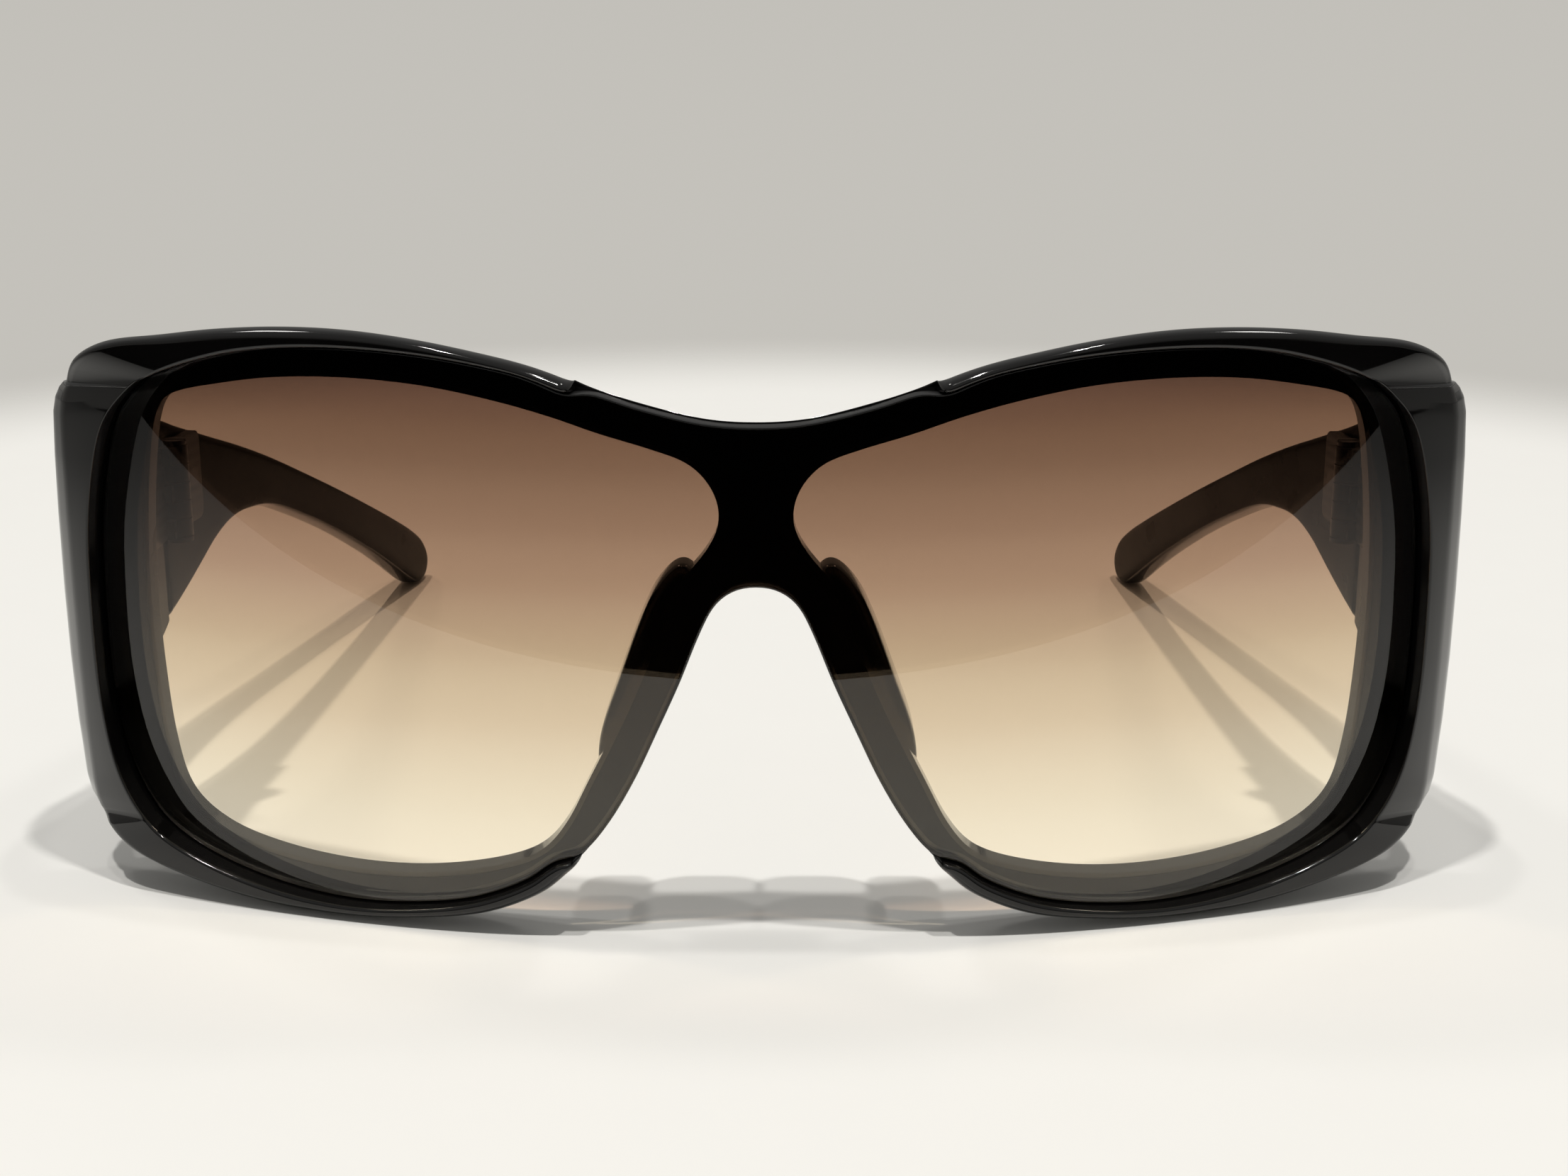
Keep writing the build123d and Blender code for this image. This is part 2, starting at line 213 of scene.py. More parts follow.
ceiling_height = 2.5
for name, x, y, power in (("left_rear", 0.41, 0.06, 4.5), ("right_rear", -0.41, 0.06, 4.5),
                          ("left_front", 0.41, -0.42, 20.5), ("right_front", -0.41, -0.42, 20.5)):
    softbox(f"ceiling_lamp_{name}", (x, y, ceiling_height), 0.08, power)
for name, x in (("left", 1.2), ("right", -1.2)):
    softbox(f"far_lamp_{name}", (x, 0.9, 2.2), 0.3, 4.5)

# Front frame: one injection-moulded piece of black cellulose propionate, tumbled and polished. Its
# rims stand proud of the lens, stop short of the bridge and the nose, and run back into tall end
# pieces; behind the lens a flat seat crosses the bridge and surrounds both eyes.

# Sizes from here on are in millimetres, and depths count back from the foremost point of the lens
lens_radius = 138.0
seat_radius = 136.0
seat_back_radius = 133.5
rim_face_radius = 163.0
rim_face_lead = 0.8
corner_start_x = 63.0
corner_centre = (57.59, 24.78)
corner_radius = 14.0
end_wall_x = 64.4
end_piece_from_x = 62.5
end_piece_full_x = 68.0
seat_limit_x = 66
joint_depth = 34.0
# From the bridge's top edge round the wearer's left to the top of the nose cut-out: the frame's
# outline x, z, and the edge of the lens beside it x, z
rim_rows = [
    (0, 51.05, 0, 50.95), (5, 51.4, 5, 51.3), (11, 52.85, 11, 52.7), (15.2, 54.15, 15.25, 54.0),
    (17.3, 55.1, 17.3, 53.7), (20.4, 56.2, 19.9, 54.75), (24, 57.1, 22.9, 55.7), (31, 58.4, 29.5, 56.8),
    (38, 59.15, 36.4, 57.3), (44.5, 59.2, 43, 57.2), (51, 58.7, 48.7, 56.55), (57, 57.8, 53.3, 55.4),
    (63.0, 56.8, 56.3, 54.4), (67.0, 54.6, 58.0, 53.65), (68.9, 51.6, 59.8, 52.65), (70.2, 46, 63.4, 48.2),
    (71, 38, 65.7, 38.8), (71.2, 29, 66.3, 29), (71, 20, 66.1, 20.5), (70.3, 12.5, 64.9, 13.6),
    (68.4, 7.3, 62.5, 8.8), (64.5, 3.9, 59.4, 6.0), (57, 1.6, 54.4, 3.9), (49, 0.3, 47.9, 2.4),
    (41, 0.05, 41, 1.75), (34, 0.5, 34.4, 2.1), (26.8, 1.6, 27.8, 3.3), (21.15, 4.0, 22.4, 5.6),
    (18.5, 6.3, 19.7, 7.7), (16.75, 8.1, 17.1, 8.5), (14.3, 11.65, 14.4, 11.75),
    (11.65, 16.3, 11.75, 16.35), (9.4, 21.2, 9.5, 21.25), (7.15, 26.25, 7.25, 26.3),
    (5.35, 30.8, 5.45, 30.85), (3.8, 33.95, 3.85, 34.05), (1.8, 35.4, 1.85, 35.5), (0, 35.65, 0, 35.75)]
eye_points = [
    (56.9, 51.5), (50.95, 53.05), (45, 54.0), (38, 54.3), (31, 53.9), (24.5, 52.8), (19, 51.4),
    (14.6, 49.95), (9.6, 48.5), (6.05, 47.1), (3.9, 44.5), (3.45, 41.55), (4.8, 38.7), (7.1, 35.9),
    (8.8, 32.9), (10.3, 28.9), (12.1, 24.4), (14.2, 19.85), (16.4, 15.35), (18.5, 11.2), (21.2, 8.1),
    (25.9, 6.2), (33, 4.85), (40.5, 4.5), (48, 5.1), (54.2, 6.6), (58.3, 9.6), (59.9, 15),
    (60.6, 22.5), (60.8, 30), (60.5, 37.5), (59.7, 44.5), (58.7, 49.2)]
rim_end_top = (16.7, 54.8)
rim_end_low = (17.2, 7.7)
rim_end_round = 1.4
# The cheek band, which bulges from each end piece between two ledges: its greatest half width at
# heights from the lower ledge to the upper one, and its half width from front to back at its middle
band_high = 51.8
band_low = 6.6
band_heights = [6.3, 7.2, 8.4, 10, 16, 23, 30, 38, 44, 48.5, 50, 51, 51.6, 52.0]
band_widths = [69.3, 70.3, 71.0, 71.4, 71.9, 72.15, 72.2, 72.1, 71.9, 71.6, 71.2, 70.6, 70.0, 69.4]
band_depths = [13.6, 15.0, 16.8, 19.4, 22.8, 28, 34]
band_plan = [66.5, 68.0, 69.6, 71.3, 72.2, 72.0, 70.1]
band_root_x = 66.4
band_widest_x = 72.2
# How far back the end pieces reach at heights from the floor up
end_heights = [0, 6.0, 9, 12, 15, 17.6, 19.5, 20.9, 21.9, 22.5, 45.2, 45.3, 46.2, 47.2, 49.4, 52.6, 60]
end_depths = [20.0, 20.2, 20.8, 21.6, 23.0, 24.8, 26.9, 29.2, 31.6, 34, 34, 33.6, 30.6, 28, 22.5,
              19, 18.6]


def smooth_loop(rows, spacing, extra=(), spread=2.2):
    """A closed loop through rows, softened a little, evenly spaced in its first two columns, and
    denser within spread of the extra points."""
    rows = np.array(rows, dtype=float)
    before, after, next_but_one = np.roll(rows, 1, 0), np.roll(rows, -1, 0), np.roll(rows, -2, 0)
    fine = []
    for t in np.linspace(0, 1, 40, endpoint=False):
        fine.append(0.5 * (2 * rows + (after - before) * t
                           + (2 * before - 5 * rows + 4 * after - next_but_one) * t**2
                           + (3 * rows - before - 3 * after + next_but_one) * t**3))
    fine = np.stack(fine, 1).reshape(-1, rows.shape[1])
    steps = np.linalg.norm(np.diff(fine[:, :2], axis=0, append=fine[:1, :2]), axis=1)
    run = np.concatenate([[0], np.cumsum(steps)])
    closed = np.vstack([fine, fine[:1]])
    places = np.linspace(0, run[-1], int(run[-1] / spacing), endpoint=False)
    sampled = np.stack([np.interp(places, run, column) for column in closed.T], 1)
    reach = 8
    softness = 0.8
    kernel = np.exp(-0.5 * (np.arange(-reach, reach + 1) * spacing / softness) ** 2)
    kernel /= kernel.sum()
    padded = np.vstack([sampled[-reach:], sampled, sampled[:reach]])
    soft = np.stack([np.convolve(column, kernel, "valid") for column in padded.T], 1)
    if not len(extra):
        return soft
    wanted = [np.array(places)]
    for point in extra:
        near = places[np.argmin(np.linalg.norm(soft[:, :2] - point, axis=1))]
        wanted.append(near + np.linspace(-spread, spread, 45))
    wanted = np.unique(np.round(np.mod(np.concatenate(wanted), run[-1]), 4))
    wanted = wanted[np.concatenate([[True], np.diff(wanted) > 0.05])]
    ring = np.vstack([soft, soft[:1]])
    ends = np.append(places, run[-1])
    return np.stack([np.interp(wanted, ends, column) for column in ring.T], 1)


def both_halves(rows, mirrored):
    """Rows of the wearer's left, then the same rows mirrored back to the start."""
    flipped = [[-v if n in mirrored else v for n, v in enumerate(row)] for row in reversed(rows[1:-1])]
    return list(rows) + flipped


def ease(value, low, high):
    """0 below low, 1 above high, and a smooth step between them."""
    t = np.clip((np.asarray(value, dtype=float) - low) / (high - low), 0, 1)
    return t * t * (3 - 2 * t)


def shell_depth(x, radius):
    """Depth at x of a surface that follows the lens, counted from the front of the lens."""
    return lens_radius - np.sqrt(radius**2 - np.asarray(x, dtype=float) ** 2)


def rim_face_depth(x):
    """Depth of the rims' front face: a flat curve that bends back into the end pieces."""
    x = np.abs(np.asarray(x, dtype=float))
    ahead = np.minimum(x, corner_start_x)
    flat = rim_face_radius - rim_face_lead - np.sqrt(rim_face_radius**2 - ahead**2)
    reach = np.clip((x - corner_centre[0]) / corner_radius, 0, 0.98)
    bend = corner_centre[1] - corner_radius * np.sqrt(1 - reach**2)
    return np.where(x < corner_start_x, flat, bend)


def rounded_sections(corners, before, after, samples):
    """Each row of corner points with its corners rounded; the same number of points in each row."""
    out = [corners[:, 0]]
    for n in range(1, corners.shape[1] - 1):
        here = corners[:, n]
        back = corners[:, n - 1] - here
        ahead = corners[:, n + 1] - here
        back_run = np.linalg.norm(back, axis=1, keepdims=True) + 1e-9
        ahead_run = np.linalg.norm(ahead, axis=1, keepdims=True) + 1e-9
        start = here + back / back_run * np.minimum(before[n], back_run * 0.47)
        stop = here + ahead / ahead_run * np.minimum(after[n], ahead_run * 0.47)
        for t in np.linspace(0, 1, samples):
            out.append((1 - t) ** 2 * start + 2 * t * (1 - t) * here + t**2 * stop)
    out.append(corners[:, -1])
    return np.stack(out, 1)


def inside(points, loop):
    """Which points lie inside a closed loop."""
    x, y = points[:, 0][:, None], points[:, 1][:, None]
    x0, y0 = loop[:, 0], loop[:, 1]
    x1, y1 = np.roll(x0, -1), np.roll(y0, -1)
    crosses = (y0 > y) != (y1 > y)
    at = x0 + (y - y0) * (x1 - x0) / np.where(y1 == y0, 1e-12, y1 - y0)
    return (np.sum(crosses & (x < at), axis=1) % 2) == 1


def filled(loops, spacing):
    """Points and triangles that fill the first loop, less the others, with an even grid inside."""
    outer = loops[0]
    low, high = outer.min(0), outer.max(0)
    grid = np.stack(np.meshgrid(np.arange(low[0], high[0], spacing),
                                np.arange(low[1], high[1], spacing)), -1).reshape(-1, 2)
    grid = grid[inside(grid, outer)]
    for hole in loops[1:]:
        grid = grid[~inside(grid, hole)]
    for loop in loops:
        gap = np.min(np.linalg.norm(grid[:, None] - loop[None, ::2], axis=2), axis=1)
        grid = grid[gap > spacing * 0.5]
    points, edges = [], []
    for loop in loops:
        first = len(points)
        points += [tuple(p) for p in loop]
        edges += [(first + n, first + (n + 1) % len(loop)) for n in range(len(loop))]
    points += [tuple(p) for p in grid]
    made = delaunay_2d_cdt([Vector(p) for p in points], edges, [], 0, 1e-7)
    flat = np.array([tuple(p) for p in made[0]])
    triangles = np.array([f for f in made[2] if len(f) == 3])
    middle = flat[triangles].mean(1)
    keep = inside(middle, outer)
    for hole in loops[1:]:
        keep &= ~inside(middle, hole)
    return flat, triangles[keep]


def square_out(loop):
    """Unit vectors square to a closed loop, pointing away from its inside."""
    along = np.roll(loop, -1, 0) - np.roll(loop, 1, 0)
    away = np.stack([along[:, 1], -along[:, 0]], 1) / np.linalg.norm(along, axis=1, keepdims=True)
    area = np.sum(loop[:, 0] * np.roll(loop[:, 1], -1) - np.roll(loop[:, 0], -1) * loop[:, 1])
    return away if area > 0 else -away


def strip_faces(rings, count, first=0):
    """Quads between neighbouring closed rings of count points each."""
    faces = []
    for r in range(rings - 1):
        for n in range(count):
            a, b = first + r * count + n, first + r * count + (n + 1) % count
            faces.append((a, b, b + count, a + count))
    return faces


def to_mesh(name, points, faces, sharp=35.0, shells=()):
    """A welded, smooth object from points in millimetres: x across, depth back, z up. Faces on one of
    the shells, which are radii about the lens's axis, take that shell's exact normals."""
    mesh = bpy.data.meshes.new(name)
    placed = np.array(points, dtype=float) * MM
    placed[:, 1] += front_y
    mesh.from_pydata([tuple(p) for p in placed], [], [tuple(int(v) for v in f) for f in faces])
    work = bmesh.new()
    work.from_mesh(mesh)
    bmesh.ops.remove_doubles(work, verts=work.verts, dist=0.012 * MM)
    bmesh.ops.dissolve_degenerate(work, edges=work.edges, dist=0.004 * MM)
    loose = [v for v in work.verts if not v.link_faces]
    bmesh.ops.delete(work, geom=loose, context="VERTS")
    bmesh.ops.recalc_face_normals(work, faces=work.faces)
    work.to_mesh(mesh)
    work.free()
    mesh.shade_smooth()
    mesh.set_sharp_from_angle(angle=math.radians(sharp))
    normals = [corner.vector.copy() for corner in mesh.corner_normals]
    axis_y = front_y + lens_radius * MM
    for face in mesh.polygons:
        corners = [mesh.vertices[v].co for v in face.vertices]
        for radius in shells:
            if all(abs(math.hypot(c.x, c.y - axis_y) - radius * MM) < 0.004 * MM for c in corners):
                for place, c in zip(face.loop_indices, corners):
                    outward = Vector((c.x, c.y - axis_y, 0)).normalized()
                    normals[place] = outward if outward.dot(face.normal) > 0 else -outward
    if shells:
        mesh.normals_split_custom_set(normals)
    made = bpy.data.objects.new(name, mesh)
    bpy.context.collection.objects.link(made)
    return made


ends = [(hand * x, z) for hand in (1, -1) for x, z in (rim_end_top, rim_end_low)]
ledges = [(hand * x, z) for hand in (1, -1) for x, z in ((68.8, band_high), (67.7, band_low))]
loop = smooth_loop(both_halves(rim_rows, (0, 2)), 0.5, ends + ledges)
outer_x, outer_z, edge_x, edge_z = loop.T
stations = len(loop)
side = np.where(outer_x < 0, -1.0, 1.0)

# The raised rims keep their full height between the two ends on each side, which are rounded off
run = np.concatenate([[0], np.cumsum(np.linalg.norm(np.diff(loop[:, :2], axis=0), axis=1))])
rim_up = np.zeros(stations)
for start, stop in ((ends[0], ends[1]), (ends[3], ends[2])):
    first, last = [run[np.argmin(np.linalg.norm(loop[:, :2] - p, axis=1))] for p in (start, stop)]
    inner = np.clip(np.minimum(run - first, last - run) / rim_end_round, 0, 1)
    rim_up = np.maximum(rim_up, np.sqrt(1 - (1 - inner) ** 2))

# How far each station belongs to an end piece, to its cheek band and to the notch above the band
flank = ease(np.abs(outer_x), end_piece_from_x, end_piece_full_x)
above_low_ledge = ease(outer_z, band_low - 0.5, band_low + 0.5)
above_high_ledge = ease(outer_z, band_high - 0.2, band_high + 0.2)
band = flank * above_low_ledge * (1 - above_high_ledge)
notch_start = ease(outer_z, band_high - 0.1, band_high + 0.2)
notch_end = ease(outer_z, band_high, band_high + 4.5)
notch = flank * notch_start * (1 - notch_end)
seat_back = shell_depth(np.clip(outer_x, -seat_limit_x, seat_limit_x), seat_back_radius)
back_depth = (1 - flank) * seat_back + flank * np.interp(outer_z, end_heights, end_depths)
across = np.stack([outer_x - edge_x, outer_z - edge_z], 1)
width = np.linalg.norm(across, axis=1)
across /= width[:, None]
tangent_x, tangent_z = np.gradient(outer_x), np.gradient(outer_z)
tangent_run = np.hypot(tangent_x, tangent_z)
inward = np.stack([tangent_z, -tangent_x], 1) / tangent_run[:, None]

band_swell = np.interp(outer_z, band_heights, band_widths) - band_root_x
band_swell /= band_widest_x - band_root_x


def band_point(depth, proud=0.0):
    """The cheek band's half width at a depth, and that depth, kept in front of the end piece's back."""
    depth = np.minimum(depth, back_depth - proud)
    plan = np.interp(depth, band_depths, band_plan)
    return band_root_x + (plan - band_root_x) * band_swell, depth


def section_point(x, z, depth, banded=None):
    """One corner of the section at every station, moved out to the cheek band where there is one."""
    if banded is not None:
        x = x + band * (side * banded[0] - x)
        depth = depth + band * (banded[1] - depth)
    return np.stack([x, depth + np.zeros(stations), z], 1)


# The section's corners, from the lens edge over the rim's crest, shoulder and crown to the rear,
# then along the inner wall to the deck behind the seat
crest_inset = 0.28
crest_widening = 0.35
crest_widens_from_x = 56
shoulder_inset = 0.75
shoulder_bulge = 0.32
low_shoulder_extra = 0.15
low_rim_heights = (9, 14)
crown_drop = 1.6
crown_bulge = 0.2
notch_setback = 1.2
notch_crown_drop = 0.5
rear_taper = 0.26
wall_inset = 1.0
deck_inset = 0.6
end_deck_inset = 0.9
seat_depth = shell_depth(edge_x, seat_radius)
flare = crest_inset + crest_widening * ease(np.abs(edge_x), crest_widens_from_x, corner_start_x)
flare = np.minimum(flare, width * 0.5) * rim_up + 0.02
crest_x = edge_x + across[:, 0] * flare
crest_z = edge_z + across[:, 1] * flare
crest_depth = seat_depth + rim_up * (rim_face_depth(crest_x) - seat_depth)
low_rim = rim_up * (1 - ease(outer_z, *low_rim_heights)) * (1 - flank)
shoulder = np.minimum(shoulder_inset + low_shoulder_extra * low_rim, width * 0.45)
face_x = outer_x - across[:, 0] * shoulder
face_z = outer_z - across[:, 1] * shoulder
outer_seat = shell_depth(np.clip(outer_x, -seat_limit_x, seat_limit_x), seat_radius)
face_depth = outer_seat + rim_up * (rim_face_depth(face_x) - outer_seat) + notch_setback * notch
crown_depth = face_depth + crown_drop * rim_up + 0.05 + notch_crown_drop * notch
middle_depth = (face_depth + crown_depth) / 2 - crown_bulge * rim_up * (1 - low_rim)
middle_x = outer_x - across[:, 0] * shoulder * shoulder_bulge
middle_z = outer_z - across[:, 1] * shoulder * shoulder_bulge
behind = np.maximum(back_depth, crown_depth + 0.6)
taper = rear_taper * (behind - crown_depth) * (1 - flank)
rear_x = outer_x + inward[:, 0] * taper
rear_z = outer_z + inward[:, 1] * taper
deep_x = outer_x + inward[:, 0] * (taper + wall_inset)
deep_z = outer_z + inward[:, 1] * (taper + wall_inset)
wall_x = deep_x * (1 - flank) + side * end_wall_x * flank
wall_z = deep_z * (1 - flank) + outer_z * flank
wall_seat = shell_depth(wall_x, seat_back_radius)
end_deck_x = side * (end_wall_x - end_deck_inset)
deck_x = (wall_x + inward[:, 0] * deck_inset) * (1 - flank) + end_deck_x * flank
deck_z = wall_z + inward[:, 1] * deck_inset * (1 - flank)
corners = np.stack([
    section_point(edge_x, edge_z, seat_depth),
    section_point(crest_x, crest_z, crest_depth),
    section_point(face_x, face_z, face_depth, band_point(16.4, 1.2)),
    section_point(middle_x, middle_z, middle_depth, band_point(19.2, 0.9)),
    section_point(outer_x, outer_z, crown_depth, band_point(22.6, 0.6)),
    section_point((outer_x + rear_x) / 2, (outer_z + rear_z) / 2, (crown_depth + behind) / 2,
                  band_point(28.0, 0.3)),
    section_point(rear_x, rear_z, behind, band_point(joint_depth)),
    section_point(wall_x, wall_z, np.maximum(behind, wall_seat + 0.02)),
    section_point(wall_x, wall_z, wall_seat),
    section_point(deck_x, deck_z, shell_depth(deck_x, seat_back_radius))], 1)
# Rounding before and after each corner; the low rims have crisper edges
crisp = (low_rim * (1 - band))[:, None]
before = [0, 0.42, 0.7 - 0.5 * crisp, 1.2, 1.3 - 0.7 * crisp, 1.5, 0.6, 0.5, 0.7, 0]
after = [0, 0.45, *before[2:]]
sections = rounded_sections(corners, before, after, 5)
frame_points = [sections.transpose(1, 0, 2).reshape(-1, 3)]
frame_faces = strip_faces(sections.shape[1], stations)
total = len(frame_points[0])

# The eye openings' walls, rounded at the back
eye_fronts = []
eye_backs = []
eye_edge = 0.45
for hand in (1, -1):
    eye = smooth_loop([(hand * x, z) for x, z in eye_points], 0.6)
    wide = eye + square_out(eye) * eye_edge
    eye_corners = np.stack([
        np.stack([at[:, 0], shell_depth(at[:, 0], radius) + setback, at[:, 1]], 1)
        for at, radius, setback in ((eye, seat_radius, 0.0), (eye, seat_back_radius, 0.0),
                                    (wide, seat_back_radius, 0.0))], 1)
    eye_sections = rounded_sections(eye_corners, [0, eye_edge, 0], [0, eye_edge, 0], 5)
    frame_points.append(eye_sections.transpose(1, 0, 2).reshape(-1, 3))
    frame_faces += strip_faces(eye_sections.shape[1], len(eye), total)
    total += len(frame_points[-1])
    eye_fronts.append(eye)
    eye_backs.append(wide)

# The seat's front and back, each a shell that follows the lens
for outline, holes, radius in ((sections[:, 0], eye_fronts, seat_radius),
                               (sections[:, -1], eye_backs, seat_back_radius)):
    flat, triangles = filled([outline[:, [0, 2]], *holes], 1.5)
    frame_points.append(np.stack([flat[:, 0], shell_depth(flat[:, 0], radius), flat[:, 1]], 1))
    frame_faces += [tuple(t + total) for t in triangles]
    total += len(flat)
front_frame = to_mesh("front_frame_moulding", np.vstack(frame_points), frame_faces, 38.0,
                      (seat_radius, seat_back_radius))
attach(front_frame, "front")
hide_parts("front_frame")


def polished_black(name, base, roughness):
    """Black plastic: deep black, with a faint haze 7 mm across where it was handled, and a ripple
    3 mm across that the mould's polish leaves."""
    haze_size = 7.15 * MM
    ripple_size = 3.125 * MM
    material, tree, shader = new_material(name)
    place = add_node(tree, "ShaderNodeTexCoord").outputs["Object"]
    haze = add_node(tree, "ShaderNodeTexNoise", inputs={
        "Vector": place, "Scale": 1 / haze_size, "Detail": 5.0})
    gloss = add_node(tree, "ShaderNodeMapRange", inputs={
        "Value": haze.outputs["Fac"], "From Min": 0.3, "From Max": 0.75,
        "To Min": roughness * 0.7, "To Max": roughness * 1.6})
    tree.links.new(gloss.outputs["Result"], shader.inputs["Roughness"])
    flow = add_node(tree, "ShaderNodeTexNoise", inputs={
        "Vector": place, "Scale": 1 / ripple_size, "Detail": 2.0})
    ripple = add_node(tree, "ShaderNodeBump", inputs={
        "Strength": 0.04, "Distance": 0.02 * MM, "Height": flow.outputs["Fac"]})
    tree.links.new(ripple.outputs["Normal"], shader.inputs["Normal"])
    cloud = add_node(tree, "ShaderNodeMix", {"data_type": "RGBA"}, {
        0: haze.outputs["Fac"], 6: linear(base), 7: linear("0b0a0a")})
    tree.links.new(cloud.outputs[2], shader.inputs["Base Color"])
    shader.inputs["IOR"].default_value = 1.48
    return material


# Tumbled and polished: it mirrors the room sharply and shows thin bright highlights on its edges
frame_black = polished_black("cellulose_propionate_polished", "050505", 0.06)
front_frame.data.materials.append(frame_black)
# As moulded: a satin black on the inner faces of end pieces, eye openings and temples, which the
# polishing doesn't reach, so that they stay dark and mirror almost nothing
frame_satin = polished_black("cellulose_propionate_satin", "040404", 0.2)
frame_satin.node_tree.nodes["Principled BSDF"].inputs["Specular IOR Level"].default_value = 0.03
front_frame.data.materials.append(frame_satin)
flank_from_x = 50 * MM
eye_wall_x = 61.2 * MM
behind_seat = 19.5 * MM
for face in front_frame.data.polygons:
    outward = math.copysign(1.0, face.center.x)
    if abs(face.center.x) > flank_from_x and face.normal.x * outward < -0.5:
        if face.center.y - front_y > behind_seat or abs(face.center.x) < eye_wall_x:
            face.material_index = 1

# Lens: a single cylindrical sheet of nylon, cut to the outline and bonded to the seat. It is dyed
# in a slow dip, so the tint runs from brown at the top to a faint straw yellow at the bottom.
lens_thickness = 1.8
lens_back_radius = lens_radius - lens_thickness
lens_bevel = 0.2


def slab(loops, low, high, edge, spacing, steps=4):
    """A closed slab over the first loop, less the others, between two heights, its edges rounded."""
    points, faces, caps = [], [], []
    total = 0
    for number, line in enumerate(loops):
        inner = square_out(line) if number else -square_out(line)
        rings = []
        turns = np.linspace(0, math.pi / 2, steps)
        for turn in turns:
            at = line + inner * edge * (1 - math.sin(turn))
            rings.append(np.column_stack([at, low(at) + edge * (1 - math.cos(turn))]))
        for turn in turns[::-1]:
            at = line + inner * edge * (1 - math.sin(turn))
            rings.append(np.column_stack([at, high(at) - edge * (1 - math.cos(turn))]))
        points += rings
        faces += strip_faces(len(rings), len(line), total)
        total += len(rings) * len(line)
        caps.append(line + inner * edge)
    flat, triangles = filled(caps, spacing)
    for height in (low, high):
        points.append(np.column_stack([flat, height(flat)]))
        faces += [tuple(t + total) for t in triangles]
        total += len(flat)
    return np.vstack(points), faces


lens_loop = smooth_loop([(row[2], row[3]) for row in both_halves(rim_rows, (0, 2))], 0.6)
made, faces = slab([lens_loop], lambda at: shell_depth(at[:, 0], lens_radius),
                   lambda at: shell_depth(at[:, 0], lens_back_radius), lens_bevel, 1.8, 3)
lens = to_mesh("shield_lens_sheet", made[:, [0, 2, 1]], faces, 30.0, (lens_radius, lens_back_radius))
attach(lens, "front")
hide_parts("shield_lens")

# Cast nylon, dyed in a dip: clear and glossy, with a tint that deepens smoothly with height
lens_tint, tree, shader = new_material("dip_dyed_nylon")
place = add_node(tree, "ShaderNodeTexCoord").outputs["Object"]
level = add_node(tree, "ShaderNodeSeparateXYZ", inputs={"Vector": place}).outputs["Z"]
dip = add_node(tree, "ShaderNodeMapRange", inputs={"Value": level, "From Min": 0.0, "From Max": 60 * MM})
ramp = add_node(tree, "ShaderNodeValToRGB", inputs={"Fac": dip.outputs["Result"]})
ramp.color_ramp.interpolation = "CARDINAL"
# Share of light through the whole sheet, from the bottom to the top
stops = [(0.0, "fff6e4"), (0.187, "fbf0d9"), (0.33, "e9d7bb"), (0.45, "d4bd9f"), (0.567, "bb9d83"),
         (0.663, "a6866f"), (0.758, "90715c"), (0.853, "795b49"), (1.0, "5b423c")]
while len(ramp.color_ramp.elements) < len(stops):
    ramp.color_ramp.elements.new(0.5)
for element, (position, colour) in zip(ramp.color_ramp.elements, stops):
    element.position = position
    element.color = linear(colour)
tree.links.new(ramp.outputs["Color"], shader.inputs["Base Color"])
shader.inputs["Roughness"].default_value = 0.0
shader.inputs["IOR"].default_value = 1.5
shader.inputs["Transmission Weight"].default_value = 1.0
# A lamp's ray meets both faces of the sheet, so each face passes the root of the sheet's share
lamp_ray = add_node(tree, "ShaderNodeLightPath").outputs["Is Shadow Ray"]
one_face = add_node(tree, "ShaderNodeGamma", inputs={"Color": ramp.outputs["Color"], "Gamma": 0.5})
clear = add_node(tree, "ShaderNodeBsdfTransparent", inputs={"Color": one_face.outputs["Color"]})
mixed = add_node(tree, "ShaderNodeMixShader", inputs={
    0: lamp_ray, 1: shader.outputs["BSDF"], 2: clear.outputs["BSDF"]})
tree.links.new(mixed.outputs["Shader"], tree.nodes["Material Output"].inputs["Surface"])
lens.data.materials.append(lens_tint)
# The cut edge is brushed with black ink after bevelling: a dull dark line, where clear nylon glows
lens.data.materials.append(polished_black("black_ink_brushed", "040404", 0.35))
for face in lens.data.polygons:
    centre = face.center / MM - Vector((0, front_y / MM + lens_radius, 0))
    middle = math.hypot(centre.x, centre.y) - lens_radius + lens_thickness / 2
    if abs(middle) < lens_thickness / 2 - lens_bevel / 2:
        face.material_index = 1

# Bonding strip: black double-sided acrylic tape, die-cut to the seat and inset a little from its
# edges. It holds the lens on, and keeps the seat behind the lens a dead black.
strip_inset = 0.5
strip_front_radius = lens_back_radius - 0.06
strip_back_radius = seat_radius + 0.05
strip_loop = smooth_loop([(row[2], row[3]) for row in both_halves(rim_rows, (0, 2))], 0.8)
strip_loop = strip_loop - square_out(strip_loop) * strip_inset
strip_holes = [eye + square_out(eye) * strip_inset for eye in eye_fronts]
made, faces = slab([strip_loop, *strip_holes], lambda at: shell_depth(at[:, 0], strip_front_radius),
                   lambda at: shell_depth(at[:, 0], strip_back_radius), 0.02, 1.8, 2)
strip = to_mesh("bonding_strip", made[:, [0, 2, 1]], faces, 30.0,
                (strip_front_radius, strip_back_radius))
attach(strip, "front")
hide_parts("lens_bond_strip")
